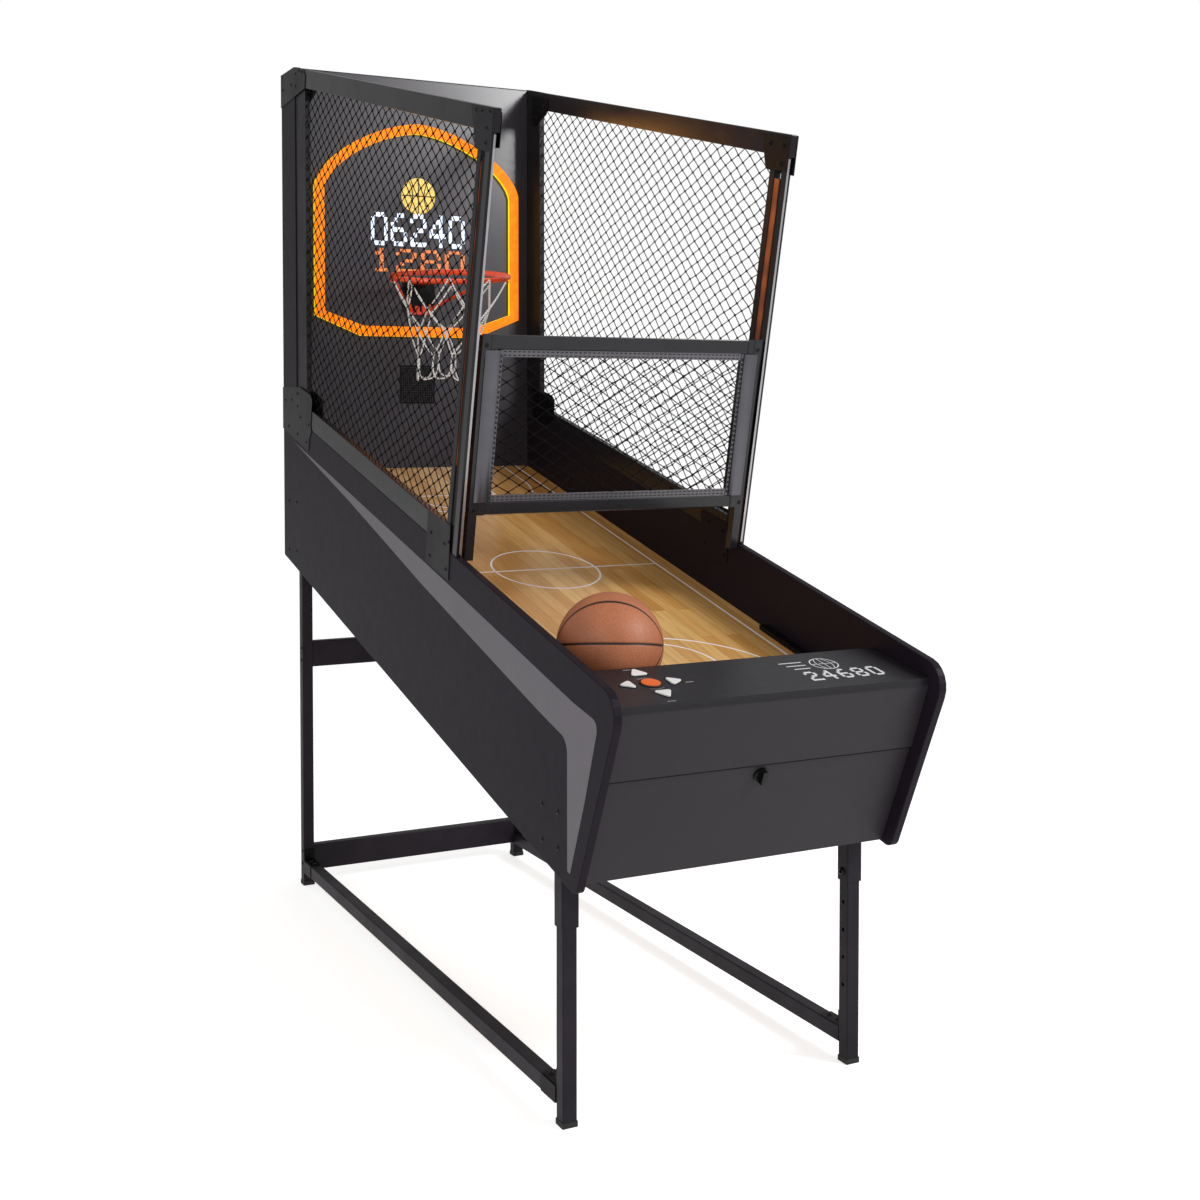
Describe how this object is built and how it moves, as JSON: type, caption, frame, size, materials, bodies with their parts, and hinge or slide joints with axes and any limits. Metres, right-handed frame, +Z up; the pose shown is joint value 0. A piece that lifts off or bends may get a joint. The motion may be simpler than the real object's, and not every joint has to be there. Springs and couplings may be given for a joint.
{
  "type": "basketball arcade machine",
  "caption": "Arcade basketball machine: sloping wooden court between dark side panels, netted cage, hoop on a lit backboard, adjustable legs.",
  "frame": {"origin": "on the floor under the centre of the bounding box", "axes": "+Z up, the player stands at -Y and faces +Y, X is the width"},
  "size_m": [0.7632, 2.162, 2.418],
  "materials": {
    "legs_steel": "satin",
    "foot_plastic": "matte",
    "panel_board": "matte",
    "court_wood": "satin",
    "guide_black": "matte",
    "wall_board": "matte",
    "deck_board": "matte",
    "front_board": "matte",
    "control_box": "satin",
    "sleeve_steel": "satin",
    "box_board": "matte",
    "backboard_gloss": "gloss",
    "outline_lit": "gloss",
    "display_module": "matte",
    "speaker_cone": "matte",
    "rim_red": "gloss",
    "bracket_black": "satin",
    "net_rope": "matte",
    "cage_rail": "satin",
    "upright_metal": "satin",
    "strip_lit": "gloss",
    "cage_net": "matte",
    "catcher_rail": "satin",
    "catcher_side": "satin",
    "catcher_net": "matte",
    "latch_metal": "satin",
    "button_white": "gloss",
    "button_orange": "gloss",
    "ball_cover": "matte"
  },
  "bodies": {
    "base": {"leg_rear_left": "legs_steel", "leg_rear_right": "legs_steel", "leg_front_left": "legs_steel", "leg_front_right": "legs_steel", "foot_rear_left": "foot_plastic", "foot_rear_right": "foot_plastic", "foot_front_left": "foot_plastic", "foot_front_right": "foot_plastic", "crossbeam_upper": "legs_steel", "crossbeam_lower": "legs_steel", "side_beam_left": "legs_steel", "side_beam_right": "legs_steel"},
    "cabinet": {"side_panel_left": "panel_board", "side_panel_right": "panel_board", "court_board": "court_wood", "side_guide_left": "guide_black", "side_guide_right": "guide_black", "ball_stop_wall": "wall_board", "control_deck": "deck_board", "front_panel_upper": "front_board", "control_box": "control_box", "leg_sleeve_left": "sleeve_steel", "leg_sleeve_right": "sleeve_steel", "back_box_side_left": "box_board", "back_box_side_right": "box_board", "back_cover": "box_board", "backboard": "backboard_gloss", "led_outline": "outline_lit", "display_module": "display_module", "speaker": "speaker_cone", "rim": "rim_red", "rim_bracket": "bracket_black", "hoop_net": "net_rope", "cage_top_rail_left": "cage_rail", "cage_top_rail_right": "cage_rail", "cage_lower_rail_left": "cage_rail", "cage_lower_rail_right": "cage_rail", "cage_rear_post_left": "cage_rail", "cage_rear_post_right": "cage_rail", "cage_front_post_left": "cage_rail", "cage_front_post_right": "cage_rail", "upright_left": "upright_metal", "upright_right": "upright_metal", "light_strip_left": "strip_lit", "light_strip_right": "strip_lit", "side_net_left": "cage_net", "side_net_right": "cage_net", "catcher_side_left": "catcher_side", "catcher_side_right": "catcher_side", "catcher_top_rail": "catcher_rail", "catcher_bottom_rail": "catcher_rail", "catcher_net": "catcher_net"},
    "service_door": {"service_door": "front_board"},
    "door_latch": {"door_latch": "latch_metal"},
    "ball": {"ball": "ball_cover"},
    "button_back": {"button_back": "button_white"},
    "button_forward": {"button_forward": "button_white"},
    "button_left": {"button_left": "button_white"},
    "button_right": {"button_right": "button_white"},
    "button_round": {"button_round": "button_orange"}
  },
  "joints": [
    {"name": "height_adjust", "type": "slide", "parent": "base", "child": "cabinet", "axis": [0, 0, 1], "range_m": [-0.2428, 0]},
    {"name": "service_door_hinge", "type": "hinge", "parent": "cabinet", "child": "service_door", "pos_m": [0, -0.89114, 0.51866], "axis": [1, 0, 0], "range_deg": [0, 100]},
    {"name": "door_latch_turn", "type": "hinge", "parent": "service_door", "child": "door_latch", "pos_m": [0, -0.97962, 0.70437], "axis": [0, -0.9149, -0.4036], "range_deg": [0, 90]},
    {"name": "ball_lift", "type": "slide", "parent": "cabinet", "child": "ball", "axis": [0, 0, 1], "range_m": [0, 0.12]},
    {"name": "button_back_press", "type": "slide", "parent": "cabinet", "child": "button_back", "axis": [0, 0.1863, -0.9825], "range_m": [0, 0.003], "stiffness_N_per_m": 400},
    {"name": "button_forward_press", "type": "slide", "parent": "cabinet", "child": "button_forward", "axis": [0, 0.1863, -0.9825], "range_m": [0, 0.003], "stiffness_N_per_m": 400},
    {"name": "button_left_press", "type": "slide", "parent": "cabinet", "child": "button_left", "axis": [0, 0.1863, -0.9825], "range_m": [0, 0.003], "stiffness_N_per_m": 400},
    {"name": "button_right_press", "type": "slide", "parent": "cabinet", "child": "button_right", "axis": [0, 0.1863, -0.9825], "range_m": [0, 0.003], "stiffness_N_per_m": 400},
    {"name": "button_round_press", "type": "slide", "parent": "cabinet", "child": "button_round", "axis": [0, 0.1863, -0.9825], "range_m": [0, 0.003], "stiffness_N_per_m": 400}
  ]
}
